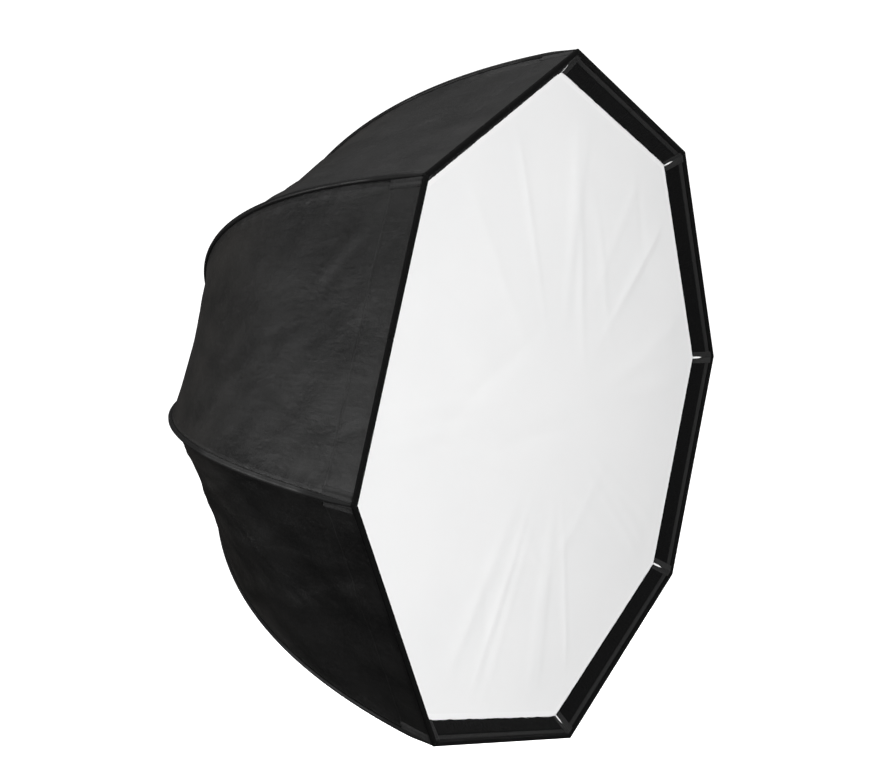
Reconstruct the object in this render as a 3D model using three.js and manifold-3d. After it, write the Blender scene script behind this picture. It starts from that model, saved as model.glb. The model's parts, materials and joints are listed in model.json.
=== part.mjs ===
// An octagonal umbrella softbox, 80 cm across its corners, shown open.
// Millimetres, +Z up. The shaft lies along Y and the open front faces -Y.
// The origin is on the shaft's axis, where the clamp of a flash bracket grips it.
import * as THREE from 'three';
import { mergeVertices } from 'three/addons/utils/BufferGeometryUtils.js';
import Module from 'manifold-3d';

// Driving dimensions. Places along the shaft are counted back from the plane of the front rim.
const SIDES = 8;
const RIM_RADIUS = 400; // to a corner
const DEPTH = 480; // from the rim plane to the middle of the canopy
const GRIP_DEPTH = 90;
const RIM_LEAN = THREE.MathUtils.degToRad(6.25); // how far the canopy leans in where it leaves the rim
const CLOTH = 1.2; // stands for the cloth and its coating
const GAP = 0.3; // left between pieces that touch

// The canopy's curve from the rim to the crown, as a cubic: the lengths of its two handles.
const RIM_PULL = 1.24 * RIM_RADIUS;
const CROWN_PULL = 45;
const CROWN_DROP = 3; // the canopy rises this much towards its middle
const CANOPY_FACETS = 18;
const CANOPY_HOLE_RADIUS = 9;

// The lip around the front, folded inwards and back.
const LIP_INWARDS = 19.2; // along a corner's radius
const LIP_BACK = 21.2;

// The ribs, as shares of the canopy's length from the rim.
const RIB_RADIUS = 2.25;
const RIB_INSET = 7; // from the canopy's outside to the rib's middle
const RIB_START = 0.03;
const RIB_END = 0.985;
const BRACKET_AT = 0.8;
const TIP_CAP_RADIUS = 3.5;
const TIP_CAP_LENGTH = 14;
const TIP_CAP_WALL = 4; // its closed front end
const SLEEVE_RADIUS = 4.1;
const SLEEVE_LENGTH = 11;
const BRACKET_DROP = 16; // from the rib's middle to the stretcher's rivet
const RIVET_RADIUS = 1.8;

// The flat eyes of ribs and stretchers, and the notched discs with the wire rings that hold them.
const TONGUE = 2;
const NOTCH = TONGUE + 2 * GAP;
const RIB_EYE_RADIUS = 3.4;
const STRETCHER_EYE_RADIUS = 3.2;
const STRETCHER_HEIGHT = 5;
const EYE_CLEARANCE = 0.4;
const CROWN_RADIUS = 20; // where the canopy's curve meets the crown
const CROWN_WIRE_RADIUS = 0.9;
const RUNNER_WIRE = { ring: 14, wire: 0.8 };

// The shaft and what sits on it.
const SHAFT_RADIUS = 4;
const SHAFT_BORE = 3;
const SHAFT_FRONT = 40;
const SHAFT_REAR = 492;
const BORE_RADIUS = SHAFT_RADIUS + GAP;
const RUNNER_BORE = SHAFT_RADIUS + 0.4;
const RUNNER_DEPTH = 365; // the middle of the runner's disc
const RUNNER_NOSE = 42; // from there to its front end
const RUNNER_TAIL = 8;
const RUNNER_GRIP = 11; // the radius of its two finger rings
const RUNNER_SLEEVE = 9; // and of the sleeve between them
const CROWN_DISC_RADIUS = 24;
const CLAMP_RADIUS = 18; // of the washer and the rear cap, which clamp the canopy's middle
const RUNNER_DISC_RADIUS = 17;
const DISC_HALF = 4;
const CATCH_WIDTH = 2.4;
const CATCH_LENGTH = 20;
const CATCH_TOP = 6.8;
const CATCH_FOOT = 1;
const KEYWAY_TOP = 7.4;
const KEYWAY_WIDTH = 3.2;

// The diffuser fills the lip's inner edge, just behind anything that lies flat on the lip.
const DIFFUSER_RADIUS = RIM_RADIUS - LIP_INWARDS - 0.5;
const DIFFUSER_FRONT = LIP_BACK - 0.1;

// The zip, beside the bottom rib.
const ZIP_CORNER = 4;
const ZIP_FROM = 45;
const ZIP_TO = 280;
const ZIP_NEAR = 6; // from the seam's plane to the tape's edges
const ZIP_FAR = 30;
const ZIP_TAPE = 1;
const ZIP_LIFT = GAP + 0.2; // from the canopy's outside to the tape, at the canopy's facets
const SLIDER_DEPTH = 62;
const SLIDER_LIFT = 0.7;

const CATCH_REAR = RUNNER_DEPTH - RUNNER_NOSE - 1;
const HALF_SIDE = Math.PI / SIDES;
const ROUND = 24; // facets on the shaft and on what slides or fits on it
const SMALL_ROUND = 10; // facets on caps, sleeves and rivets

const wasm = await Module();
wasm.setup();

const MATERIALS = {
  cloth: { color: 0x26272a, roughness: 0.72 },
  diffuser: { color: 0xe9eaec, roughness: 0.85 },
  steel: { color: 0xb9bcc0, roughness: 0.32, metalness: 0.9 },
  blackSteel: { color: 0x1c1d1f, roughness: 0.45, metalness: 0.3 },
  rib: { color: 0x18191b, roughness: 0.4 },
  plastic: { color: 0x1f2022, roughness: 0.55 },
  zip: { color: 0x1a1b1d, roughness: 0.8 },
};

const softbox = new THREE.Group();
softbox.position.y = -GRIP_DEPTH;

/** Adds a named piece to a group. */
function piece(group, name, geometry, material) {
  const mesh = new THREE.Mesh(geometry, new THREE.MeshStandardMaterial(MATERIALS[material]));
  mesh.name = name;
  group.add(mesh);
  return mesh;
}

/** The solid of a closed geometry, for cutting and joining. */
function solid(geometry) {
  const bare = geometry.clone();
  bare.deleteAttribute('normal');
  bare.deleteAttribute('uv');
  const merged = mergeVertices(bare);
  return new wasm.Manifold(new wasm.Mesh({
    numProp: 3,
    vertProperties: Float32Array.from(merged.attributes.position.array),
    triVerts: Uint32Array.from(merged.index.array),
  }));
}

/** The geometry of a solid, with flat shading. */
function geometryOf(body) {
  const mesh = body.getMesh();
  const geometry = new THREE.BufferGeometry();
  geometry.setAttribute('position', new THREE.BufferAttribute(mesh.vertProperties, 3));
  geometry.setIndex(new THREE.BufferAttribute(mesh.triVerts, 1));
  const flat = geometry.toNonIndexed();
  flat.computeVertexNormals();
  return flat;
}

const join = (first, ...others) => geometryOf(others.reduce((sum, g) => sum.add(solid(g)), solid(first)));
const cut = (first, ...tools) => geometryOf(tools.reduce((rest, g) => rest.subtract(solid(g)), solid(first)));
const common = (first, second) => geometryOf(solid(first).intersect(solid(second)));

/** A closed profile of [radius, place along Y], turned about the Y axis. */
function turned(profile, facets = ROUND) {
  const points = profile.map(([r, y]) => new THREE.Vector2(r, y));
  if (THREE.ShapeUtils.isClockWise(points)) points.reverse();
  const onAxis = points.findIndex((p, i) => p.x === 0 && points.at(i - 1).x === 0);
  const ring = onAxis < 0 ? points : [...points.slice(onAxis), ...points.slice(0, onAxis)];
  if (onAxis < 0) ring.push(ring[0].clone());
  return new THREE.LatheGeometry(ring, facets);
}

/** A flat plate of a shape in the X-Y plane, between two places along Z. */
function plate(shape, low, high) {
  return new THREE.ExtrudeGeometry(shape, { depth: high - low, bevelEnabled: false, curveSegments: 4 })
    .translate(0, 0, low);
}

/** A box between two corners. */
function block(low, high) {
  const size = high.map((v, i) => v - low[i]);
  const middle = high.map((v, i) => (v + low[i]) / 2);
  return new THREE.BoxGeometry(...size).translate(...middle);
}

const shapeOf = (points) => new THREE.Shape(points.map(([x, y]) => new THREE.Vector2(x, y)));

/** A regular polygon's corners. */
function polygon(radius, corners, centre = [0, 0]) {
  return Array.from({ length: corners }, (_, i) => {
    const turn = (2 * Math.PI * i) / corners;
    return [centre[0] + radius * Math.cos(turn), centre[1] + radius * Math.sin(turn)];
  });
}

/** A link with round ends: from one place in the X-Y plane to another. */
function linkShape(from, to, endRadius, halfHeight) {
  const along = new THREE.Vector2(to.x - from.x, to.y - from.y);
  const turn = along.angle();
  const lean = Math.asin(halfHeight / endRadius);
  const shape = new THREE.Shape();
  shape.absarc(from.x, from.y, endRadius, turn + lean, turn - lean + 2 * Math.PI, false);
  shape.absarc(to.x, to.y, endRadius, turn + Math.PI + lean, turn + 3 * Math.PI - lean, false);
  return shape;
}

/** A tool that cuts a round eye through a tongue. */
function eyeHole(centre, wire) {
  const hole = new THREE.Shape();
  hole.absarc(centre.x, centre.y, wire + EYE_CLEARANCE, 0, 2 * Math.PI, false);
  return plate(hole, -TONGUE, TONGUE);
}

// The canopy's curve in a rib's own plane: x is the distance from the axis, y the depth.
const canopy = new THREE.CubicBezierCurve(
  new THREE.Vector2(RIM_RADIUS, 0),
  new THREE.Vector2(RIM_RADIUS - RIM_PULL * Math.sin(RIM_LEAN), RIM_PULL * Math.cos(RIM_LEAN)),
  new THREE.Vector2(CROWN_RADIUS + CROWN_PULL, DEPTH - CROWN_DROP),
  new THREE.Vector2(CROWN_RADIUS, DEPTH),
);

/** A point some way inside the canopy, at a share of its length from the rim. */
function inside(share, inset) {
  const tangent = canopy.getTangentAt(share);
  return canopy.getPointAt(share).add(new THREE.Vector2(-tangent.y, tangent.x).multiplyScalar(inset));
}

/** The share of the canopy's length at which it reaches a depth. */
function shareAt(depth) {
  let low = 0;
  let high = 1;
  while (high - low > 1e-6) {
    const middle = (low + high) / 2;
    if (canopy.getPointAt(middle).y < depth) low = middle;
    else high = middle;
  }
  return low;
}

/** The middle line of a rib, between two shares of the canopy's length. */
class RibLine extends THREE.Curve {
  constructor(from, to) {
    super();
    this.from = from;
    this.to = to;
  }

  getPoint(share) {
    const point = inside(THREE.MathUtils.lerp(this.from, this.to, share), RIB_INSET);
    return new THREE.Vector3(point.x, point.y, 0);
  }
}

const crownPivot = inside(1, RIB_INSET);
const crownWire = { ring: crownPivot.x, wire: CROWN_WIRE_RADIUS };
const rivet = inside(BRACKET_AT, RIB_INSET + BRACKET_DROP);
const runnerPivot = new THREE.Vector2(RUNNER_WIRE.ring, RUNNER_DEPTH);

/** Lays a geometry made along +Y at the origin onto the rib's middle line. */
function onRib(geometry, share) {
  const tangent = canopy.getTangentAt(share);
  const point = inside(share, RIB_INSET);
  return geometry.rotateZ(tangent.angle() - Math.PI / 2).translate(point.x, point.y, 0);
}

function rib() {
  const section = shapeOf(polygon(RIB_RADIUS, 8));
  const line = new RibLine(RIB_START, RIB_END);
  const rod = new THREE.ExtrudeGeometry(section, { steps: 16, extrudePath: line, bevelEnabled: false });
  const neck = inside(RIB_END - 0.006, RIB_INSET);
  const tongue = linkShape(crownPivot, neck, RIB_EYE_RADIUS, RIB_RADIUS - 0.1);
  return cut(join(rod, plate(tongue, -TONGUE / 2, TONGUE / 2)), eyeHole(crownPivot, CROWN_WIRE_RADIUS));
}

/** The cap on a rib's front end, open towards the rib. */
function ribTip() {
  const bore = RIB_RADIUS + 0.45;
  const cap = turned([
    [0, 0], [2, 0], [TIP_CAP_RADIUS, 1.6], [TIP_CAP_RADIUS, TIP_CAP_LENGTH],
    [bore, TIP_CAP_LENGTH], [bore, TIP_CAP_WALL], [0, TIP_CAP_WALL],
  ], SMALL_ROUND);
  return onRib(cap.translate(0, -TIP_CAP_WALL - GAP - 1, 0), RIB_START);
}

/** One head of the rivet between a stretcher and its rib. */
function rivetHead(x, y, z) {
  return new THREE.CylinderGeometry(RIVET_RADIUS, RIVET_RADIUS, 1.2, SMALL_ROUND)
    .rotateX(Math.PI / 2)
    .translate(x, y, z);
}

/** A sleeve around the rib with a tab beside the stretcher's end, and the head of its rivet. */
function ribBracket() {
  const bore = RIB_RADIUS + 0.8; // the rib is bent, and the sleeve is straight
  const half = SLEEVE_LENGTH / 2;
  const sleeve = turned([[bore, -half], [SLEEVE_RADIUS, -half], [SLEEVE_RADIUS, half], [bore, half]], SMALL_ROUND);
  const low = TONGUE / 2 + GAP;
  const high = low + 1.6;
  const drop = -BRACKET_DROP;
  const tabShape = new THREE.Shape();
  tabShape.moveTo(-bore - 0.3, -5);
  tabShape.lineTo(-bore - 0.3, 5);
  tabShape.absarc(drop, 0, STRETCHER_EYE_RADIUS, Math.PI / 2, -Math.PI / 2 + 2 * Math.PI, false);
  const tab = plate(tabShape, low, high);
  return onRib(join(sleeve, tab, rivetHead(drop, 0, high + 0.5)), BRACKET_AT);
}

/** A flat bar from the runner's wire ring to the rib's bracket, with its half of the rivet. */
function stretcher() {
  const bar = plate(
    linkShape(runnerPivot, rivet, STRETCHER_EYE_RADIUS, STRETCHER_HEIGHT / 2),
    -TONGUE / 2,
    TONGUE / 2,
  );
  return cut(join(bar, rivetHead(rivet.x, rivet.y, -TONGUE / 2 - 0.5)), eyeHole(runnerPivot, RUNNER_WIRE.wire));
}

/** Where two lines meet, each given by a point and a direction. */
function meeting(p, along, q, across) {
  const between = new THREE.Vector2().subVectors(q, p);
  return p.clone().addScaledVector(along, between.cross(across) / along.cross(across));
}

/** The section of a gore in its middle plane: the cloth from the hole to the rim, and the lip. */
function goreSection() {
  const flat = Math.cos(HALF_SIDE);
  const toMiddle = (point) => new THREE.Vector2(point.x * flat, point.y);
  const outer = Array.from({ length: CANOPY_FACETS + 1 }, (_, i) => toMiddle(canopy.getPointAt(i / CANOPY_FACETS)));
  const inner = outer.slice(1).map((point, i) => {
    const along = new THREE.Vector2().subVectors(outer[Math.min(i + 2, CANOPY_FACETS)], outer[i]).normalize();
    return point.clone().add(new THREE.Vector2(-along.y, along.x).multiplyScalar(CLOTH));
  });
  const hole = CANOPY_HOLE_RADIUS * flat;
  outer.push(new THREE.Vector2(hole, DEPTH));
  inner.push(new THREE.Vector2(hole, DEPTH - CLOTH));

  const lipEdge = toMiddle(new THREE.Vector2(RIM_RADIUS - LIP_INWARDS, LIP_BACK));
  const along = new THREE.Vector2().subVectors(lipEdge, outer[0]).normalize();
  const behind = new THREE.Vector2(along.y, -along.x).multiplyScalar(CLOTH);
  const lipBack = lipEdge.clone().add(behind);
  const wall = new THREE.Vector2().subVectors(outer[1], outer[0]).normalize();
  const wallInside = outer[0].clone().add(new THREE.Vector2(-wall.y, wall.x).multiplyScalar(CLOTH));
  const fold = meeting(lipBack, along, wallInside, wall);
  return new THREE.Shape([...outer, ...inner.reverse(), fold, lipBack, lipEdge]);
}

/** The wedge between a rib's plane and the middle of the gore beside it, seen along the shaft. */
function wedge(side) {
  const reach = 1.2 * RIM_RADIUS;
  const near = CANOPY_HOLE_RADIUS / 2;
  const edge = (x) => x * Math.tan(HALF_SIDE) - GAP / 2 / Math.cos(HALF_SIDE);
  const corners = [[near, GAP / 2], [reach, GAP / 2], [reach, edge(reach)], [near, edge(near)]];
  const shape = shapeOf(corners.map(([x, z]) => [x, side * z]));
  const depth = 2 * DEPTH;
  return new THREE.ExtrudeGeometry(shape, { depth, bevelEnabled: false })
    .rotateX(Math.PI / 2)
    .translate(0, 1.5 * DEPTH, 0);
}

/** Turns what was drawn in a gore's middle plane to its place beside the rib. */
const besideRib = (geometry, side) => geometry.rotateY(-side * HALF_SIDE);

/** Half a gore with its half of the lip: side 1 is anticlockwise of the rib, seen from the front. */
function halfGore(side) {
  const chord = RIM_RADIUS * Math.sin(HALF_SIDE) * 1.1;
  return common(besideRib(plate(goreSection(), -chord, chord), side), wedge(side));
}

/** The zip's tape, just outside the gore and parallel to the seam. */
function zipTape() {
  const flat = Math.cos(HALF_SIDE);
  const from = shareAt(ZIP_FROM);
  const to = shareAt(ZIP_TO);
  const steps = 8;
  const shares = Array.from({ length: steps + 1 }, (_, i) => THREE.MathUtils.lerp(from, to, i / steps));
  const low = shares.map((share) => inside(share, -ZIP_LIFT));
  const high = shares.map((share) => inside(share, -ZIP_LIFT - ZIP_TAPE)).reverse();
  const section = new THREE.Shape([...low, ...high].map((p) => new THREE.Vector2(p.x * flat, p.y)));
  const strip = besideRib(plate(section, -RIM_RADIUS / 2, RIM_RADIUS / 2), 1);
  return common(strip, block([0, 0, ZIP_NEAR], [1.2 * RIM_RADIUS, DEPTH, ZIP_FAR]));
}

/** The zip's slider with its pull, made with x away from the cloth and y along the zip. */
function zipSlider() {
  const body = shapeOf([[0, -6], [3, -6], [4, -4.5], [4, 4.5], [3, 6], [0, 6]]);
  const bridge = shapeOf([[3.5, -3], [5.4, -2], [5.4, 5], [3.5, 4]]);
  const pull = shapeOf([[4.4, 3.2], [5.8, 3.2], [5.8, 30], [4.4, 30]]);
  const slider = join(plate(body, -5, 5), plate(bridge, -1.5, 1.5), plate(pull, -3.5, 3.5));
  const share = shareAt(SLIDER_DEPTH);
  const surface = inside(share, -ZIP_LIFT - ZIP_TAPE - SLIDER_LIFT);
  const x = surface.x * Math.cos(HALF_SIDE);
  const beside = (ZIP_NEAR + ZIP_FAR) / 2 / Math.cos(HALF_SIDE) - x * Math.tan(HALF_SIDE);
  slider.rotateZ(canopy.getTangentAt(share).angle() - Math.PI / 2).translate(x, surface.y, beside);
  return besideRib(slider, 1);
}

/** The notches around a disc for the eyes of the ribs or stretchers. */
function notches(from, to, depth) {
  const half = DISC_HALF + 1;
  return Array.from({ length: SIDES }, (_, i) => (
    block([from, depth - half, -NOTCH / 2], [to, depth + half, NOTCH / 2])
      .rotateY((2 * Math.PI * i) / SIDES)
  ));
}

/** The outline of a disc with a groove around its rim for a wire ring. */
function groovedRim(radius, ring, middle) {
  const half = ring.wire + GAP;
  const floor = ring.ring - half - 0.3;
  return [
    [radius, middle - DISC_HALF], [radius, middle - half], [floor, middle - half],
    [floor, middle + half], [radius, middle + half], [radius, middle + DISC_HALF],
  ];
}

function wireRing({ ring, wire }, depth) {
  return new THREE.TorusGeometry(ring, wire, 6, 4 * SIDES).rotateX(Math.PI / 2).translate(0, depth, 0);
}

function crownHub() {
  const middle = crownPivot.y;
  const boss = 9;
  const front = middle - 18;
  const profile = [
    [BORE_RADIUS, front], [boss, front], [boss, middle - DISC_HALF],
    ...groovedRim(CROWN_DISC_RADIUS, crownWire, middle), [BORE_RADIUS, middle + DISC_HALF],
  ];
  return cut(turned(profile), ...notches(15.8, CROWN_DISC_RADIUS + 2, middle));
}

function canopyWasher() {
  const front = crownPivot.y + DISC_HALF + GAP;
  const rear = DEPTH - CLOTH - GAP;
  return turned([[BORE_RADIUS, front], [CLAMP_RADIUS, front], [CLAMP_RADIUS, rear], [BORE_RADIUS, rear]]);
}

function rearCap() {
  const front = DEPTH + GAP;
  const seat = SHAFT_REAR + 2;
  return turned([
    [BORE_RADIUS, front], [CLAMP_RADIUS, front], [CLAMP_RADIUS, front + 2], [15, front + 5.2], [9, front + 8.2],
    [7.2, front + 13], [6, front + 17], [0, front + 18], [0, seat], [BORE_RADIUS, seat],
  ]);
}

function shaft() {
  const tube = turned([
    [SHAFT_BORE, SHAFT_FRONT], [SHAFT_RADIUS, SHAFT_FRONT],
    [SHAFT_RADIUS, SHAFT_REAR], [SHAFT_BORE, SHAFT_REAR],
  ]);
  const half = CATCH_WIDTH / 2 + GAP;
  const slotFront = CATCH_REAR - CATCH_LENGTH - GAP;
  return cut(tube, block([0, slotFront, -half], [SHAFT_RADIUS + 1, CATCH_REAR + GAP, half]));
}

function shaftEndCap() {
  const front = SHAFT_FRONT - 6;
  const seat = SHAFT_FRONT - 2;
  const rear = SHAFT_FRONT + 12;
  return turned([
    [0, front], [4, front], [5.6, front + 1.6], [5.6, rear], [BORE_RADIUS, rear], [BORE_RADIUS, seat], [0, seat],
  ]);
}

/** A wedge that stands out of the shaft's slot, steep towards the runner. */
function springCatch() {
  const front = CATCH_REAR - CATCH_LENGTH;
  const outline = shapeOf([
    [CATCH_FOOT, front], [SHAFT_RADIUS + 0.2, front], [CATCH_TOP, CATCH_REAR - 4],
    [CATCH_TOP, CATCH_REAR], [CATCH_FOOT, CATCH_REAR],
  ]);
  return plate(outline, -CATCH_WIDTH / 2, CATCH_WIDTH / 2);
}

/** The hand-grip, disc and bore of the runner, with a keyway that passes over the catch. */
function runner() {
  const at = (y) => RUNNER_DEPTH + y;
  const profile = [
    [RUNNER_BORE, at(-RUNNER_NOSE)], [RUNNER_SLEEVE, at(-RUNNER_NOSE)],
    [RUNNER_GRIP, at(-40)], [RUNNER_GRIP, at(-37)], [RUNNER_SLEEVE, at(-35)], [RUNNER_SLEEVE, at(-20)],
    [RUNNER_GRIP, at(-18)], [RUNNER_GRIP, at(-15)], [9.5, at(-13)], [9.5, at(-DISC_HALF)],
    ...groovedRim(RUNNER_DISC_RADIUS, RUNNER_WIRE, RUNNER_DEPTH),
    [9.5, at(DISC_HALF)], [9.5, at(RUNNER_TAIL)], [RUNNER_BORE, at(RUNNER_TAIL)],
  ];
  const half = KEYWAY_WIDTH / 2;
  const keyway = block([0, at(-RUNNER_NOSE - 1), -half], [KEYWAY_TOP, at(RUNNER_TAIL + 1), half]);
  return cut(turned(profile), keyway, ...notches(10.2, RUNNER_DISC_RADIUS + 2, RUNNER_DEPTH));
}

function diffuser() {
  return new THREE.CylinderGeometry(DIFFUSER_RADIUS, DIFFUSER_RADIUS, CLOTH, SIDES)
    .translate(0, DIFFUSER_FRONT + CLOTH / 2, 0);
}

/** A group whose local x points from the axis to a corner of the front. Corner 0 is at the top. */
function arm(corner) {
  const group = new THREE.Group();
  group.rotation.y = (2 * Math.PI * corner) / SIDES - Math.PI / 2;
  softbox.add(group);
  return group;
}

const top = arm(0);
piece(top, 'shaft', shaft(), 'steel');
piece(top, 'shaft_end_cap', shaftEndCap(), 'plastic');
piece(top, 'catch', springCatch(), 'steel');
piece(top, 'runner', runner(), 'plastic');
piece(top, 'runner_wire', wireRing(RUNNER_WIRE, RUNNER_DEPTH), 'steel');
piece(top, 'crown_hub', crownHub(), 'plastic');
piece(top, 'crown_wire', wireRing(crownWire, crownPivot.y), 'steel');
piece(top, 'canopy_washer', canopyWasher(), 'plastic');
piece(top, 'rear_cap', rearCap(), 'plastic');
piece(top, 'diffuser', diffuser(), 'diffuser');

const perRib = [
  ['rib', rib(), 'rib'],
  ['rib_tip', ribTip(), 'plastic'],
  ['rib_bracket', ribBracket(), 'steel'],
  ['stretcher', stretcher(), 'blackSteel'],
  ['gore_left', halfGore(1), 'cloth'],
  ['gore_right', halfGore(-1), 'cloth'],
];
for (let corner = 0; corner < SIDES; corner += 1) {
  const group = arm(corner);
  for (const [name, geometry, material] of perRib) piece(group, `${name}_${corner + 1}`, geometry, material);
}

const zipSide = arm(ZIP_CORNER);
piece(zipSide, 'zip_tape', zipTape(), 'zip');
piece(zipSide, 'zip_slider', zipSlider(), 'steel');

export default softbox;
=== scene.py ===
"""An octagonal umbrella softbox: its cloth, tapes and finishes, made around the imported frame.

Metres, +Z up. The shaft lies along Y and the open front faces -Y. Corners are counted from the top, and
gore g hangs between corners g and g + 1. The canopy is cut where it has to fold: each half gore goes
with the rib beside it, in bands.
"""

import json
import math

import bpy
import numpy as np
from mathutils import Matrix, Vector

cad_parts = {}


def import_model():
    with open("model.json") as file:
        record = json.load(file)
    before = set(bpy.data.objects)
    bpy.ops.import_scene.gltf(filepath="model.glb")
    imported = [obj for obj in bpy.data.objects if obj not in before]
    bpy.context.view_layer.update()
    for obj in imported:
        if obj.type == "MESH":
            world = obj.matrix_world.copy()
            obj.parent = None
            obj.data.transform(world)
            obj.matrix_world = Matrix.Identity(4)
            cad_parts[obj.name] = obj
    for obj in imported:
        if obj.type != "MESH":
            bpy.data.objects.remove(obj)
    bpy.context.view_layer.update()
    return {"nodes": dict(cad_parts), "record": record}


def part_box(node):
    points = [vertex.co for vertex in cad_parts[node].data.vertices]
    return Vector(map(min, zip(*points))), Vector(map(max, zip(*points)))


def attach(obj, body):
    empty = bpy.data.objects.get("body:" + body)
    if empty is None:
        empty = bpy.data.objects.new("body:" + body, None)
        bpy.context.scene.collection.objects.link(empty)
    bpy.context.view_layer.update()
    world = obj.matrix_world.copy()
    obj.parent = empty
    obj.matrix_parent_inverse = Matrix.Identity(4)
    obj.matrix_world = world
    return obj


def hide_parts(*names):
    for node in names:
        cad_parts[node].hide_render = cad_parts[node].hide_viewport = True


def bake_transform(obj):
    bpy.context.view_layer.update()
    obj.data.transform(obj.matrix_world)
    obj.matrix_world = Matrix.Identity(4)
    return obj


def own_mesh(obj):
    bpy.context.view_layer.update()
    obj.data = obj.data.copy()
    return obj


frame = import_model()

# Sizes from the frame.
MM = 0.001
SIDES = 8
HALF = math.pi / SIDES
GORE_LOW, GORE_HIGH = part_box("gore_left_1")
RADIUS = round(GORE_HIGH.z, 3)  # from the shaft to a corner of the rim
RIM_Y = GORE_LOW.y
DEPTH = GORE_HIGH.y - GORE_LOW.y
DIFFUSER_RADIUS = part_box("diffuser")[1].z
DIFFUSER_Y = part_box("diffuser")[0].y
LIP_IN = 19.2 * MM  # the lip's inner edge, towards the shaft and back from the rim
LIP_BACK = 21.2 * MM

# The cloth.
CLOTH = 0.7 * MM
HOLE = 10 * MM  # the canopy ends here, under the rear cap
HEM = 42 * MM  # from the rim to the hem's stitches
SEAM_STRIP = 9 * MM  # the width of the seam allowance sewn down beside each seam
STITCH = 4 * MM
HIGHLIT_CORNER = 6  # the piping of the seam here carries a strong painted highlight along its front half
COLUMNS = 24  # across half a gore
TUCK = 1.5 * MM  # how far a piece of the canopy reaches under the next
STATION = 7 * MM  # along a gore, and closer at the hem

# The folding: each rib turns in by FOLD about its eye at the crown. Half a gore is cut in bands at these
# lengths from the rim, and for each band the share of its width that the folded ribs leave room for is
# worked out.
FOLD = math.radians(38.46)
RIB_EYE = (19.54 * MM, 473.0 * MM)
RIM_KEEP = 0.04  # the share of its width that the front edge keeps
POCKET_KEEP = 0.2  # and that the webbing over a rib's pocket keeps
BAND_ENDS = np.array([10, 30, 55, 85, 120, 160, 205, 255, 310, 370, 435, 500, 565, 630]) * MM


def smooth(x, low, high):
    """0 below low, 1 above high, and a smooth step between them."""
    t = np.clip((x - low) / (high - low), 0, 1)
    return t * t * (3 - 2 * t)


def bell(x, width):
    """1 at 0, and falling smoothly to both sides over a width."""
    return np.exp(-((x / width) ** 2))


# --- Geometry of the canopy -------------------------------------------------------------------------


def canopy_curve():
    """Points of the canopy's curve over a rib, as (radius, depth), and the length up to each point."""
    lean, pull = math.radians(6.25), 1.24 * RADIUS
    a, b, c, d = np.array(
        [
            (RADIUS, 0.0),
            (RADIUS - pull * math.sin(lean), pull * math.cos(lean)),
            (0.1625 * RADIUS, DEPTH - 3 * MM),
            (0.05 * RADIUS, DEPTH),
        ]
    )
    t = np.linspace(0, 1, 2001)[:, None]
    points = a * (1 - t) ** 3 + 3 * b * t * (1 - t) ** 2 + 3 * c * t * t * (1 - t) + d * t**3
    points = np.vstack([points, [HOLE, DEPTH]])
    steps = np.linalg.norm(np.diff(points, axis=0), axis=1)
    return points, np.concatenate([[0], np.cumsum(steps)])


CURVE, LENGTHS = canopy_curve()
LENGTH = LENGTHS[-1]


def on_curve(s):
    """Radius and depth at a length from the rim."""
    return np.interp(s, LENGTHS, CURVE[:, 0]), np.interp(s, LENGTHS, CURVE[:, 1])


def along_curve(s):
    """The curve's direction at a length from the rim, as (radius, depth)."""
    step = 2 * MM
    (r0, y0), (r1, y1) = on_curve(np.maximum(s - step, 0)), on_curve(np.minimum(s + step, LENGTH))
    size = np.hypot(r1 - r0, y1 - y0)
    return (r1 - r0) / size, (y1 - y0) / size


def length_at(radius):
    """The length from the rim to where the canopy has a radius."""
    return float(np.interp(-radius, -CURVE[:, 0], LENGTHS))


def band_fold(start, end):
    """How a band between two lengths from the rim folds: the radius of its seam, which stays on the rib,
    and the share of its width it keeps, so that it still meets the next half gore at its wider end."""
    seam = on_curve(0.5 * (start + end))[0]
    r, y = on_curve(end)
    folded = RIB_EYE[0] + (r - RIB_EYE[0]) * math.cos(FOLD) + (y - RIB_EYE[1]) * math.sin(FOLD)
    return seam, float(np.clip((folded + seam - r) / seam, 0.05, 0.97))


def arm(corner):
    """Unit vectors out to a corner and across it, anticlockwise as seen from the front's outside."""
    turn = math.pi / 2 - 2 * HALF * corner
    return np.array([math.cos(turn), 0, math.sin(turn)]), np.array([-math.sin(turn), 0, math.cos(turn)])


def place(corner, radius, y, across=0.0):
    """Points at a radius, depth from the rim and distance across, in a corner's own directions."""
    out, side = arm(corner)
    radius, y, across = (np.asarray(v, float)[..., None] for v in np.broadcast_arrays(radius, y, across))
    return radius * out + (RIM_Y + y) * np.array([0, 1, 0]) + across * side


def stations():
    """Lengths from the rim at which the canopy has a row of points, and the rows where bands meet."""
    edges = [0.0, *BAND_ENDS, LENGTH]
    rows, cuts = [0.0], [0]
    for start, end in zip(edges, edges[1:]):
        count = max(2, round((end - start) / STATION))
        part = np.linspace(start, end, count + 1)[1:]
        rows += list(part)
        cuts.append(len(rows) - 1)
    near_hem = [HEM + d * MM for d in (-2.6, -1.3, 0, 1.3, 2.6)]
    return np.array(rows), cuts, near_hem


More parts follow.
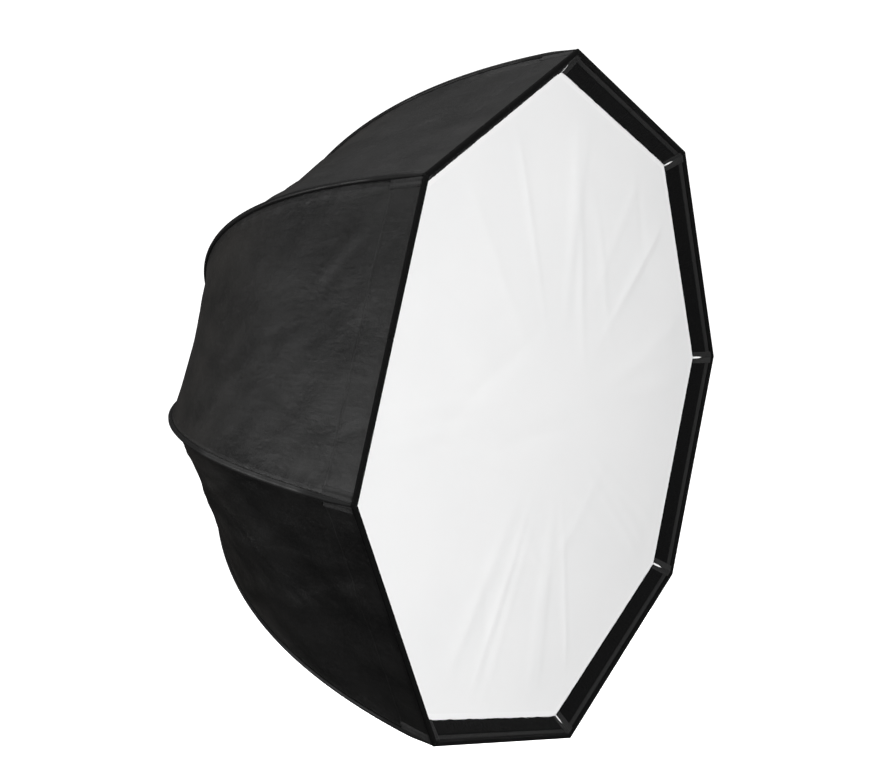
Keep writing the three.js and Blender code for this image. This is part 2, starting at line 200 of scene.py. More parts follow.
# The folds that stand out on single gores, as fold_lines lists them.
LONG_FOLDS = {
    5: (
        (0.20, 0.35, 0.42, 0.17, 15 * MM, 3.2 * MM),
        (0.27, 0.05, 0.50, 0.15, 13 * MM, 2.6 * MM),
        (0.12, -0.30, 0.36, 0.11, 12 * MM, 2.2 * MM),
        (0.33, -0.25, 0.55, 0.12, 15 * MM, 2.8 * MM),
    ),
    6: (
        (0.26, -0.62, -0.20, 0.16, 24 * MM, 4.2 * MM),
        (0.09, -0.55, 0.95, 0.05, 10 * MM, 1.8 * MM),
        (0.30, 0.45, 0.25, 0.10, 14 * MM, 1.8 * MM),
    ),
    7: (
        (0.22, -0.20, -0.10, 0.20, 13 * MM, 2.4 * MM),
        (0.30, 0.30, 0.16, 0.15, 12 * MM, 2.2 * MM),
        (0.12, 0.10, -0.24, 0.10, 10 * MM, 1.8 * MM),
    ),
}


def fold_lines(gore):
    """Soft tension folds on a gore: (length from rim, across, direction, reach, width, height)."""
    draw = np.random.RandomState(20 + gore)
    lines = list(LONG_FOLDS.get(gore, ()))
    for _ in range(11):
        s = draw.uniform(0.06, 0.44)
        across = draw.uniform(-0.8, 0.8)
        lean = draw.choice([-1, 1]) * math.radians(draw.uniform(8, 38))
        reach = draw.uniform(0.05, 0.13)
        width = draw.uniform(5, 11) * MM
        lines.append((s, across, lean, reach, width, draw.uniform(-2.4, 2.8) * MM))
    return lines


def relief(gore, s, across, half_width):
    """How far the cloth stands out from the flat strip between its ribs."""
    draw = np.random.RandomState(60 + gore)
    edge = half_width - np.abs(across)
    share = np.abs(across) / half_width
    quiet = smooth(edge, 0, 30 * MM) * smooth(s, 2 * MM, 50 * MM) * smooth(LENGTH - s, 60 * MM, 160 * MM)
    height = -3.5 * MM * (1 - share**2) * smooth(s, 0, 120 * MM) * smooth(LENGTH - s, 20 * MM, 200 * MM)
    for wave in (150, 95, 62, 41):
        turn = draw.uniform(0, math.pi)
        phase = draw.uniform(0, 2 * math.pi)
        ripple = np.sin(2 * math.pi * (s * math.cos(turn) + across * math.sin(turn)) / (wave * MM) + phase)
        height = height + 0.005 * wave * MM * ripple * quiet
    for s0, c0, lean, reach, width, tall in fold_lines(gore):
        ds = s - s0
        dc = across - c0 * half_width
        on = ds * math.cos(lean) + dc * math.sin(lean)
        off = -ds * math.sin(lean) + dc * math.cos(lean) + 6 * MM * np.sin(on / (35 * MM))
        height = height + tall * (bell(off, width) - 0.45 * bell(off, 2.4 * width)) * bell(on, reach) * quiet
    pucker = np.sin(2 * math.pi * s / (23 * MM) + 2 * np.sin(s / (60 * MM)) + gore)
    height = height + 0.35 * MM * pucker * bell(edge - SEAM_STRIP, 8 * MM) * smooth(s, HEM, HEM + 20 * MM)
    tuck = np.sin(2 * math.pi * across / (19 * MM) + 2 * np.sin(across / (45 * MM)))
    height = height + 0.22 * MM * tuck * bell(s - HEM - 6 * MM, 9 * MM) * smooth(edge, 5 * MM, 20 * MM)
    strip = (1 - smooth(edge, SEAM_STRIP - 0.8 * MM, SEAM_STRIP + 0.8 * MM)) * smooth(LENGTH - s, 0, 40 * MM)
    hem = 1 - smooth(s, HEM - 0.8 * MM, HEM + 0.8 * MM)
    groove = bell(s - HEM + 3 * MM, 1.2 * MM) * smooth(edge, 4 * MM, 8 * MM)
    crown = bell(edge - 5 * MM, 3 * MM) * strip * smooth(s, HEM, HEM + 15 * MM)
    return height + 0.5 * MM * np.maximum(strip, hem) + 0.7 * MM * crown - 0.25 * MM * groove


def gore_surface(gore, s, spread):
    """Points, normals and cloth places (across, along, from the seam) of a gore, as grids."""
    out, side = arm(gore + 0.5)
    back = np.array([0, 1, 0])
    r, y = on_curve(s)
    dr, dy = along_curve(s)
    flat = math.cos(HALF)
    half_width = (r * math.sin(HALF))[:, None]
    across = half_width * spread[None, :]
    facing = dy[:, None] * out - (dr * flat)[:, None] * back
    facing /= np.linalg.norm(facing, axis=1, keepdims=True)
    height = relief(gore, s[:, None], across, half_width)
    base = (r * flat)[:, None] * out + (RIM_Y + y)[:, None] * back
    points = base[:, None] + across[..., None] * side + height[..., None] * facing[:, None]
    normals = np.cross(np.gradient(points, axis=0), np.gradient(points, axis=1))
    normals *= np.sign((normals * facing[:, None]).sum(-1, keepdims=True))
    normals /= np.linalg.norm(normals, axis=-1, keepdims=True)
    cloth = np.stack(np.broadcast_arrays(across, s[:, None], half_width - np.abs(across)), -1)
    return points, normals, cloth


# --- Making pieces ----------------------------------------------------------------------------------


def grid_faces(rows, columns, start=0, flip=False):
    """The triangles of a grid of points, with the same diagonals whichever way they face."""
    faces = []
    for i in range(rows - 1):
        for j in range(columns - 1):
            a = start + i * columns + j
            b, c, d = a + 1, a + columns + 1, a + columns
            for face in ((a, b, c), (a, c, d)):
                faces.append(face[::-1] if flip else face)
    return faces


def new_piece(name, points, faces, materials, indices=None):
    mesh = bpy.data.meshes.new(name)
    mesh.from_pydata([tuple(p) for p in points], [], faces)
    for material in materials:
        mesh.materials.append(material)
    if indices is not None:
        mesh.polygons.foreach_set("material_index", indices)
    mesh.polygons.foreach_set("use_smooth", [True] * len(mesh.polygons))
    obj = bpy.data.objects.new(name, mesh)
    bpy.context.scene.collection.objects.link(obj)
    return obj


def note_cloth(obj, cloth):
    """Keeps each point's place in the cloth for the weave: across, along, and from the seam, in metres."""
    attribute = obj.data.attributes.new("cloth", "FLOAT_VECTOR", "POINT")
    attribute.data.foreach_set("vector", np.asarray(cloth, np.float32).ravel())


def shell(name, outer, inner, materials, cloth=None, normals=None):
    """A closed sheet between two grids of points: its outside, its inside and its four narrow edges."""
    rows, columns = outer.shape[:2]
    count = rows * columns
    grid = np.arange(count).reshape(rows, columns)
    ring = np.concatenate([grid[0], grid[1:, -1], grid[-1, -2::-1], grid[-2:0:-1, 0]])
    after = np.roll(ring, -1)
    faces = grid_faces(rows, columns, flip=True) + grid_faces(rows, columns, count)
    sides = len(faces)
    faces += [(a, b, b + count, a + count) for a, b in zip(ring.tolist(), after.tolist())]
    middle = (rows // 2, columns // 2)
    across = outer[middle[0], middle[1]] - outer[middle[0], middle[1] - 1]
    along = outer[middle[0], middle[1]] - outer[middle[0] - 1, middle[1]]
    if np.dot(np.cross(along, across), outer[middle] - inner[middle]) < 0:
        faces = [face[::-1] for face in faces]
    indices = [0] * (sides // 2) + [len(materials) - 1] * (sides // 2) + [0] * (len(faces) - sides)
    points = np.concatenate([outer.reshape(-1, 3), inner.reshape(-1, 3)])
    obj = new_piece(name, points, faces, materials, indices)
    if cloth is not None:
        note_cloth(obj, np.concatenate([cloth.reshape(-1, 3)] * 2))
    if normals is not None:
        both = np.concatenate([normals.reshape(-1, 3), -normals.reshape(-1, 3)])
        obj.data.normals_split_custom_set_from_vertices([tuple(n) for n in both])
    return obj


def tube(name, line, radius, material, sides=10):
    """A round cord's shape along a line, with closed ends."""
    line = np.asarray(line, float)
    along = np.gradient(line, axis=0)
    along /= np.linalg.norm(along, axis=1, keepdims=True)
    first = np.cross(along, line - line.mean(0)).mean(0)  # across the plane that the line curves in
    first /= np.linalg.norm(first)
    second = np.cross(along, first)
    turn = 2 * math.pi * np.arange(sides) / sides
    radii = np.broadcast_to(radius, len(line))
    ring = np.cos(turn)[None, :, None] * first + np.sin(turn)[None, :, None] * second[:, None]
    points = line[:, None] + radii[:, None, None] * ring
    count = len(line)
    faces = []
    for i in range(count - 1):
        for j in range(sides):
            k = (j + 1) % sides
            faces.append((i * sides + j, i * sides + k, (i + 1) * sides + k, (i + 1) * sides + j))
    faces.append(tuple(range(sides))[::-1])
    faces.append(tuple(range((count - 1) * sides, count * sides)))
    return new_piece(name, points.reshape(-1, 3), faces, [material])


def fold_with(obj, corner, gore, radius, keep, node=None, slot="canopy_cloth"):
    """Rides on a rib, and hides the frame's part that it stands in for, if one is named."""
    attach(obj, f"rib_{corner + 1}")
    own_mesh(obj)
    if node:
        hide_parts(node)


# --- Materials --------------------------------------------------------------------------------------


class Nodes:
    """A material's nodes, with short calls for adding and linking them."""

    def __init__(self, name):
        self.material = bpy.data.materials.new(name)
        self.material.use_nodes = True
        self.tree = self.material.node_tree
        self.shader = self.tree.nodes["Principled BSDF"]

    def add(self, kind, inputs=None, **settings):
        node = self.tree.nodes.new("ShaderNode" + kind)
        for key, value in settings.items():
            setattr(node, key, value)
        for key, value in (inputs or {}).items():
            self.set(node, key, value)
        return node

    def set(self, node, key, value):
        if isinstance(value, bpy.types.NodeSocket):
            self.tree.links.new(value, node.inputs[key])
        else:
            node.inputs[key].default_value = value

    def surface(self, **values):
        for key, value in values.items():
            self.set(self.shader, key.replace("_", " ").title(), value)

    def cloth(self):
        return self.add("Attribute", attribute_name="cloth").outputs["Vector"]

    def in_object(self):
        return self.add("TexCoord").outputs["Object"]

    def noise(self, vector, scale, detail=3.0, roughness=0.55):
        inputs = {"Vector": vector, "Scale": scale, "Detail": detail, "Roughness": roughness}
        return self.add("TexNoise", inputs).outputs["Fac"]

    def wave(self, vector, pitch, direction, distortion=0.0):
        """Even bands across a direction, one for each pitch in metres."""
        inputs = {"Vector": vector, "Scale": math.pi / (10 * pitch), "Distortion": distortion}
        settings = {"wave_type": "BANDS", "bands_direction": direction, "wave_profile": "SIN"}
        return self.add("TexWave", inputs, **settings).outputs["Fac"]

    def math(self, operation, a, b=0.0):
        return self.add("Math", {0: a, 1: b}, operation=operation).outputs[0]

    def span(self, value, low, high, to_low=0.0, to_high=1.0):
        inputs = {"Value": value, "From Min": low, "From Max": high, "To Min": to_low, "To Max": to_high}
        return self.add("MapRange", inputs, interpolation_type="SMOOTHSTEP").outputs["Result"]

    def mix(self, share, first, second):
        node = self.add("Mix", data_type="RGBA")
        for socket, value in zip((node.inputs[0], node.inputs[6], node.inputs[7]), (share, first, second)):
            if isinstance(value, bpy.types.NodeSocket):
                self.tree.links.new(value, socket)
            else:
                socket.default_value = value
        return node.outputs[2]

    def bump(self, height, distance, strength=1.0, normal=None):
        node = self.add("Bump", {"Height": height, "Distance": distance, "Strength": strength})
        if normal is not None:
            self.set(node, "Normal", normal)
        return node.outputs["Normal"]


def grey(level, warmth=0.0):
    return (level * (1 + warmth), level, level * (1 - warmth), 1)


def weave(n, vector, pitch):
    """Threads over and under each other, as a height."""
    warp = n.wave(vector, pitch, "X")
    weft = n.wave(vector, pitch, "Y")
    check = n.add("TexChecker", {"Vector": vector, "Scale": 1 / pitch}).outputs["Fac"]
    over = n.add("Mix", {0: check, 2: warp, 3: weft}, data_type="FLOAT")
    return over.outputs[0]


def stitch_rows(n, vector):
    """1 on a row of stitches beside the seam and along the hem, and 0 elsewhere."""
    parts = n.add("SeparateXYZ", {0: vector}).outputs
    thread = STITCH * 0.62

    def row(distance, at, along):
        near = n.math("LESS_THAN", n.math("ABSOLUTE", n.math("SUBTRACT", distance, at)), 0.42 * MM)
        on_thread = n.math("LESS_THAN", n.math("PINGPONG", along, STITCH / 2), thread / 2)
        return n.math("MULTIPLY", near, on_thread)

    seam = row(parts[2], SEAM_STRIP - 2.2 * MM, parts[1])
    hem = row(parts[1], HEM - 3 * MM, parts[0])
    return n.math("MAXIMUM", seam, hem), parts


def canopy_material():
    """Black coated taffeta: a fine weave, soft creases, lighter folded edges and rows of stitches."""
    n = Nodes("canopy_taffeta")
    cloth = n.cloth()
    stitches, parts = stitch_rows(n, cloth)
    patches = n.noise(cloth, 9.0, 4.0)
    fine = n.noise(cloth, 160.0, 4.0, 0.7)
    dark = n.mix(n.span(patches, 0.3, 0.7), grey(0.0042), grey(0.0105, 0.02))
    dusty = n.mix(n.span(fine, 0.45, 0.75, 0.0, 0.6), dark, grey(0.021, 0.02))
    strip = n.math("SUBTRACT", 1.0, n.span(parts[2], 1.5 * MM, SEAM_STRIP + 1 * MM))
    hem_edge = n.math("LESS_THAN", n.math("ABSOLUTE", n.math("SUBTRACT", parts[1], HEM)), 0.9 * MM)
    worn = n.math("MULTIPLY", n.math("MAXIMUM", strip, hem_edge), n.span(fine, 0.3, 0.7, 0.15, 0.6))
    faded = n.math("MULTIPLY", n.span(parts[1], 160 * MM, 360 * MM), n.span(patches, 0.3, 0.7, 0.2, 0.8))
    dusty = n.mix(faded, dusty, grey(0.023, 0.12))
    edged = n.mix(worn, dusty, grey(0.034))
    colour = n.mix(n.math("MULTIPLY", stitches, 0.8), edged, grey(0.002))
    creases = n.add("TexNoise", {"Vector": cloth, "Scale": 16.0, "Detail": 3.5, "Distortion": 0.5})
    normal = n.bump(creases.outputs["Fac"], 6.0 * MM, 0.35)
    streaks = n.add("Mapping", {"Vector": cloth, "Rotation": (0, 0, 0.6), "Scale": (42.0, 9.0, 9.0)})
    normal = n.bump(n.noise(streaks.outputs[0], 1.0, 3.0), 2.5 * MM, 0.45, normal)
    normal = n.bump(n.noise(cloth, 420.0, 2.0), 0.5 * MM, 0.3, normal)
    normal = n.bump(weave(n, cloth, 0.9 * MM), 0.12 * MM, 0.5, normal)
    normal = n.bump(stitches, 0.5 * MM, 0.8, normal)
    rough = n.span(patches, 0.25, 0.75, 0.40, 0.52)
    n.surface(base_color=colour, roughness=rough, normal=normal, sheen_weight=0.01, sheen_roughness=0.5)
    n.shader.inputs["Specular IOR Level"].default_value = 0.42
    return n.material


def lining_material():
    """The silver coating inside the canopy."""
    n = Nodes("silver_lining")
    cloth = n.cloth()
    normal = n.bump(n.noise(cloth, 60.0, 5.0), 1.5 * MM, 0.35)
    normal = n.bump(weave(n, cloth, 1.1 * MM), 0.15 * MM, 0.5, normal)
    tone = n.mix(n.noise(cloth, 14.0), grey(0.50, -0.01), grey(0.66, -0.01))
    rough = n.span(n.noise(cloth, 30.0), 0.3, 0.7, 0.28, 0.42)
    n.surface(base_color=tone, roughness=rough, normal=normal, metallic=0.85)
    return n.material


def webbing_material(name, level, pitch, ribs="Y", gloss=0.3):
    """Woven tape with ribs across a direction of its cloth place."""
    n = Nodes(name)
    cloth = n.cloth()
    rib = n.wave(cloth, pitch, ribs, 0.3)
    worn = n.mix(n.noise(cloth, 300.0, 3.0), grey(level * 0.7), grey(level * 1.35))
    colour = n.mix(n.math("MULTIPLY", rib, 0.45), worn, grey(level * 2.0))
    normal = n.bump(rib, 0.45 * MM, 0.8)
    normal = n.bump(n.noise(cloth, 900.0, 2.0), 0.3 * MM, 0.5, normal)
    n.surface(base_color=colour, roughness=0.75, normal=normal, sheen_weight=0.02, sheen_roughness=0.4)
    n.shader.inputs["Specular IOR Level"].default_value = gloss
    return n.material


def piping_material(name, highlight_strength):
    """The cloth around the seam's cord: black, with a painted highlight of lighter grey, more or less
    strong, along the front half.
    """
    n = Nodes(name)
    cloth = n.cloth()
    along = n.add("SeparateXYZ", {0: cloth}).outputs[1]
    # Painted highlight: the cord is painted lighter grey along its front half, where light catches it, and
    # made glossier there.
    wear_and_highlight = n.math("MULTIPLY", n.span(along, 50 * MM, 85 * MM), n.span(along, 265 * MM, 225 * MM))
    wear_and_highlight = n.math("MULTIPLY", wear_and_highlight, n.span(n.noise(cloth, 35.0), 0.3, 0.6, 0.35, 1.0))
    colour = n.mix(wear_and_highlight, grey(0.002), grey(0.002 + 0.04 * highlight_strength))
    normal = n.bump(n.noise(cloth, 700.0, 3.0), 0.4 * MM, 0.5)
    n.surface(base_color=colour, roughness=n.span(wear_and_highlight, 0.0, 1.0, 0.7, 0.45), normal=normal)
    n.shader.inputs["Specular IOR Level"].default_value = 0.35
    return n.material


def pile_material():
    """The fuzzy side of hook and loop tape."""
    n = Nodes("loop_pile")
    cloth = n.cloth()
    tufts = n.add("TexVoronoi", {"Vector": cloth, "Scale": 620.0, "Randomness": 1.0}).outputs["Distance"]
    fuzz = n.noise(cloth, 240.0, 4.0, 0.7)
    colour = n.mix(fuzz, grey(0.0008), grey(0.005, -0.04))
    normal = n.bump(tufts, 1.0 * MM, 0.8)
    normal = n.bump(fuzz, 1.4 * MM, 0.7, normal)
    n.surface(base_color=colour, roughness=0.95, normal=normal, sheen_weight=0.01, sheen_roughness=0.6)
    n.shader.inputs["Specular IOR Level"].default_value = 0.1
    return n.material


def diffuser_material(name="diffuser_cloth_white", level=0.84):
    """Thin white polyester that lets light through."""
    n = Nodes(name)
    cloth = n.cloth()
    cloudy = n.noise(cloth, 7.0, 4.0)
    colour = n.mix(cloudy, grey(level, -0.004), grey(level + 0.03, 0.002))
    normal = n.bump(n.noise(cloth, 45.0, 4.0), 0.7 * MM, 0.16)
    normal = n.bump(weave(n, cloth, 0.8 * MM), 0.08 * MM, 0.4, normal)
    rough = n.span(cloudy, 0.3, 0.7, 0.72, 0.86)
    n.surface(base_color=colour, roughness=rough, normal=normal, sheen_weight=0.1, sheen_roughness=0.5)
    n.shader.inputs["Specular IOR Level"].default_value = 0.3
    return n.material


def metal_material(name, level, rough, coated=False):
    """Plated or painted metal with fine drawn lines and a few rubbed spots."""
    n = Nodes(name)
    point = n.in_object()
    drawn = n.wave(point, 0.5 * MM, "Y", 2.5)
    wear_and_highlight = n.noise(point, 90.0, 4.0)
    colour = n.mix(wear_and_highlight, grey(level * 0.85), grey(level * 1.12))
    roughness = n.span(wear_and_highlight, 0.3, 0.75, rough * 0.8, rough * 1.35)
    normal = n.bump(drawn, 0.03 * MM, 0.35)
    n.surface(base_color=colour, roughness=roughness, normal=normal, metallic=0.0 if coated else 1.0)
    return n.material


def moulded_material(name, level, rough, grain):
    """Moulded plastic with a fine grain and lighter, rubbed raised places."""
    n = Nodes(name)
    point = n.in_object()
    coarse = n.noise(point, 120.0, 3.0)
    pitted = n.noise(point, grain, 2.0)
    colour = n.mix(coarse, grey(level * 0.8), grey(level * 1.4))
    roughness = n.span(coarse, 0.3, 0.7, rough * 0.9, rough * 1.15)
    normal = n.bump(pitted, 0.2 * MM, 0.45)
    n.surface(base_color=colour, roughness=roughness, normal=normal)
    return n.material


CANOPY = canopy_material()
LINING = lining_material()
BINDING = webbing_material("edge_binding", 0.002, 1.1 * MM, gloss=0.1)
RIBBED = webbing_material("ribbed_tape", 0.008, 1.4 * MM, "X")
PATCH = webbing_material("pocket_webbing", 0.028, 1.9 * MM)
LIP_PATCH = webbing_material("lip_webbing", 0.011, 1.9 * MM)
# Both pipings carry a painted highlight along the front half of the cord; the second carries a much stronger
# one.
PIPING = piping_material("seam_piping", 0.1)
HIGHLIT_PIPING = piping_material("highlit_seam_piping", 1.0)
ZIP_CLOTH = webbing_material("zip_cloth", 0.012, 0.9 * MM, "X")
PILE = pile_material()
WHITE = diffuser_material()
WHITE_HEM = diffuser_material("diffuser_hem_white", 0.87)
HARDWARE = {
    "shaft_steel": metal_material("plated_tube", 0.62, 0.16),
    "small_steel": metal_material("plated_wire", 0.5, 0.28),
    "black_steel": metal_material("black_paint", 0.016, 0.38, coated=True),
    "rib_rod": moulded_material("glass_fibre_rod", 0.014, 0.34, 1500.0),
    "black_plastic": moulded_material("moulded_nylon", 0.018, 0.5, 1900.0),
}


# --- The canopy -------------------------------------------------------------------------------------


def tuck(points, normals, cloth, at, before):
    """The first row or column of a piece, moved a little way under the piece before it."""
    step = points[before] - points[at]
    length = np.linalg.norm(step, axis=-1, keepdims=True)
    share = np.minimum(1, TUCK / np.maximum(length, 1e-9))
    return points[at] + step * share - 0.3 * MM * normals[at], normals[at], cloth[at]


def with_first(grids, first, axis):
    """The grids with one more row or column before their first."""
    return [np.concatenate([np.expand_dims(f, axis), g], axis) for g, f in zip(grids, first)]


def band_pieces(gore, end, corner, node, rows, cuts, points, normals, cloth):
    """Cuts half a gore into its bands, each tucked under its neighbours; all but the band at the crown ride
    on the rib.
    """
    half = slice(COLUMNS, None) if end > 0 else slice(0, COLUMNS + 1)
    for band, (top, bottom) in enumerate(zip(cuts, cuts[1:])):
        part = (slice(top, bottom + 1), half)
        grids = [points[part], normals[part], cloth[part]]
        if end > 0:
            ways = ((slice(top, bottom + 1), COLUMNS), (slice(top, bottom + 1), COLUMNS - 1))
            grids = with_first(grids, tuck(points, normals, cloth, *ways), 1)
        if band:
            row = tuck(points, normals, cloth, (top, half), (top - 1, half))
            if end > 0:
                row = [np.concatenate([r[:1], r]) for r in row]
            grids = with_first(grids, row, 0)
        outer, facing, places = grids
        name = f"canopy_{node[5:]}_{band + 1}"
        obj = shell(name, outer, outer - CLOTH * facing, [CANOPY, LINING], places, facing)
        if band < len(BAND_ENDS):
            start = BAND_ENDS[band - 1] if band else 0.0
            fold_with(obj, corner, gore + 0.5, *band_fold(start, BAND_ENDS[band]), node)
            continue
        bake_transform(obj)
        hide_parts(node)


def canopy():
    """The eight gores, each as two halves that fold with the ribs beside it."""
    rows, cuts, near_hem = stations()
    edges = rows[cuts]
    rows = np.unique(np.round(np.concatenate([rows, near_hem]), 7))
    cuts = [int(np.argmin(np.abs(rows - edge))) for edge in edges]
    spread = np.linspace(-1, 1, 2 * COLUMNS + 1)
    spread = spread + 0.09 * np.sin(math.pi * spread)
    for gore in range(SIDES):
        points, normals, cloth = gore_surface(gore, rows, spread)
        after = (gore + 1) % SIDES
        sides = ((1, gore, f"gore_right_{gore + 1}"), (-1, after, f"gore_left_{after + 1}"))
        for end, corner, node in sides:
            band_pieces(gore, end, corner, node, rows, cuts, points, normals, cloth)


def piping():
    """The corded seams between the gores, one along each rib."""
    lengths = np.linspace(3 * MM, length_at(0.05 * RADIUS), 90)
    radius, y = on_curve(lengths)
    dr, dy = along_curve(lengths)
    thick = (1.7 + 1.4 * smooth(lengths, 0, 36 * MM)) * MM
    proud = 0.5 * thick
    for corner in range(SIDES):
        line = place(corner, radius + proud * dy, y - proud * dr)
        # The seam at corner 6 gets the piping with the stronger painted highlight.
        obj = tube(f"piping_{corner + 1}", line, thick, HIGHLIT_PIPING if corner == HIGHLIT_CORNER else PIPING)
        sides = len(obj.data.vertices) // len(lengths)
        turn = np.tile(np.arange(sides) / sides * 14 * MM, len(lengths))
        note_cloth(obj, np.stack([turn, np.repeat(lengths, sides), turn], -1))
        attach(obj, f"rib_{corner + 1}")


# --- The front edge ---------------------------------------------------------------------------------

CORNER_GAP = 0.001  # the share of a strip's length that it leaves free at the corner
MIDDLE_GAP = 0.0005  # and at the middle of the side
EDGE_TURN = 2.45  # radians that the binding turns through around the front edge
EDGE_FRONT = np.array([0, -0.5])  # how far it bulges forward there, as a share of its thickness


def edge_strip(name, corner, end, outer, inner, steps, materials, ruffle=None):
    """A sewn strip along half a side of the front.

    Its cross-section is drawn in the middle plane of the gore, as points of its outside and its inside,
    and it runs from the corner to the middle of the side. End 1 is anticlockwise of the corner.
    """
    gore = corner - 0.5 if end > 0 else corner + 0.5
    out, side = arm(gore)
    share = np.linspace(CORNER_GAP, 1, steps)

    def swept(section):
        a, y = np.array(section).T
        across = -end * np.outer(a * math.tan(HALF), 1 - share * (1 - MIDDLE_GAP))
        base = a[:, None] * out + (RIM_Y + y)[:, None] * np.array([0, 1, 0])
        return base[:, None] + across[..., None] * side, np.abs(across)

    outside, across = swept(outer)
    inside, _ = swept(inner)
    if ruffle is not None:
        outside = outside + ruffle(outside, across)
    run = np.concatenate([[0], np.cumsum(np.linalg.norm(np.diff(np.array(outer), axis=0), axis=1))])
    cloth = np.stack(np.broadcast_arrays(across, run[:, None], across), -1)
    return shell(name, outside, inside, materials, cloth)


def lip_frame():
    """The lip's front edge in a gore's middle plane, its direction, and the way it faces."""
    flat = math.cos(HALF)
    start = np.array([RADIUS * flat, 0.0])
    end = np.array([(RADIUS - LIP_IN) * flat, LIP_BACK])
    width = np.linalg.norm(end - start)
    along = (end - start) / width
    return start, along, np.array([-along[1], along[0]]), width


def wrapped_section(wall, lip, thick):
    """A binding folded round the front edge: outside from the wall, round the edge, to the lip."""
    start, along, facing, _ = lip_frame()
    r, y = on_curve(np.array([wall]))
    back = np.array([r[0] * math.cos(HALF), y[0]]) - start
    back /= np.linalg.norm(back)
    outward = np.array([back[1], -back[0]])
    outer, inner = [], []
    for share in np.linspace(1, 0, 5):
        foot = start + back * wall * share
        outer.append(foot + outward * (thick if share < 0.6 else 0.4 * thick + 0.3 * MM))
        inner.append(foot + outward * 0.05 * MM)
    for share in np.linspace(0, 1, 7)[1:-1]:
        turned = outward * math.cos(share * EDGE_TURN) + EDGE_FRONT * math.sin(share * EDGE_TURN)
        bulge = turned / np.linalg.norm(turned)
        outer.append(start + turned * thick)
        inner.append(start + bulge * 0.05 * MM)
    for share in np.linspace(0, 1, 4):
        foot = start + along * lip * share
        outer.append(foot + facing * (thick * (1 - share) + 0.9 * MM * share))
        inner.append(foot + facing * 0.05 * MM)
    return outer, inner


def lip_section(first, last, low, high, steps):
    """A flat strip on the lip, between two distances from the front edge and two heights above it."""
    start, along, facing, _ = lip_frame()
    shares = np.linspace(0, 1, steps)
    outer = [start + along * (first + (last - first) * t) + facing * high for t in shares]
    inner = [start + along * (first + (last - first) * t) + facing * low for t in shares]
    round_edge = facing * (high - low) * 0.4
    outer[0] = outer[0] - round_edge
    outer[-1] = outer[-1] - round_edge
    return outer, inner


def pile_ruffle(seed):
    """Moves the pile's surface up and down a little, and its inner edge to and fro."""
    draw = np.random.RandomState(seed)

    def move(points, across):
        tall = draw.uniform(-0.35, 0.35, points.shape[:2]) * MM
        tall[0] = tall[-1] = 0
        wavy = np.sin(across[-1] / (7 * MM)) * 0.5 + np.sin(across[-1] / (3.1 * MM) + 1) * 0.3
        edge = np.zeros(points.shape[:2])
        edge[-1] = wavy * MM
        edge[-2] = wavy * 0.6 * MM
        normal = np.cross(points[1, 0] - points[0, 0], points[0, 1] - points[0, 0])
        normal /= np.linalg.norm(normal)
        normal *= -np.sign(normal[1]) or 1
        inward = points[-1] - points[0]
        inward /= np.linalg.norm(inward, axis=-1, keepdims=True)
        return tall[..., None] * normal + edge[..., None] * inward[None]

    return move


def front_edge():
    """The lip's cloth, its binding, ribbed tape and loop tape, in halves that fold with their ribs."""
    width = lip_frame()[3]
    lip = lip_section(0, width, -1.0 * MM, 0, 8)
    binding = wrapped_section(3.5 * MM, 4.6 * MM, 2.6 * MM)
    ribbed = lip_section(4.4 * MM, 10.2 * MM, 0.02 * MM, 0.65 * MM, 5)
    pile = lip_section(10.0 * MM, width - 0.3 * MM, 0.02 * MM, 1.6 * MM, 14)
    parts = (
        ("lip", lip, 30, [BINDING], None),
        ("binding", binding, 60, [BINDING], None),
        ("ribbed_tape", ribbed, 60, [RIBBED], None),
        ("loop_tape", pile, 110, [PILE], pile_ruffle),
    )
    for corner in range(SIDES):
        for end, side in ((1, "left"), (-1, "right")):
            for kind, (outer, inner), steps, materials, ruffle in parts:
                name = f"{kind}_{side}_{corner + 1}"
                move = ruffle(100 + 2 * corner + (end > 0)) if ruffle else None
                obj = edge_strip(name, corner, end, outer, inner, steps, materials, move)
                radius = float(np.mean(outer, axis=0)[0]) / math.cos(HALF)
                node = f"gore_{side}_{corner + 1}"
                fold_with(obj, corner, corner - end / 2, radius, RIM_KEEP, node)


def corner_patches():
    """Webbing over each corner of the lip, and over the rib's pocket outside, folding with the rim."""
    for corner in range(SIDES):
        for end, side in ((1, "left"), (-1, "right")):
            patch = lip_patch(corner, end, side)
            pocket = pocket_patch(corner, end, side)
            fold_with(patch, corner, corner - end / 2, RADIUS - LIP_IN / 2, RIM_KEEP)
            fold_with(pocket, corner, corner - end / 2, RADIUS, POCKET_KEEP)


def lip_patch(corner, end, side):
    """Half of the webbing folded over a corner of the lip, beside its slit."""
    start, along, facing, width = lip_frame()
    out, across_way = arm(corner - 0.5 if end > 0 else corner + 0.5)
    reach = np.linspace(3.0 * MM, width - 0.1 * MM, 12)
    share = np.linspace(0, 1, 6)

    def grid(height):
        points = np.zeros((len(reach), len(share), 3))
        for i, distance in enumerate(reach):
            a, y = start + along * distance + facing * height
            seam = a * math.tan(HALF)
            slit = 1.5 * MM * float(smooth(distance, width - 9.5 * MM, width - 8.5 * MM))
            for j, t in enumerate(share):
                across = -end * (seam - slit - t * (8.5 * MM - slit))
                points[i, j] = a * out + (RIM_Y + y) * np.array([0, 1, 0]) + across * across_way
        return points

    cloth = np.stack(np.broadcast_arrays(share[None] * 8 * MM, reach[:, None], share[None] * 8 * MM), -1)
    return shell(f"corner_patch_{side}_{corner + 1}", grid(2.2 * MM), grid(0.1 * MM), [LIP_PATCH], cloth)


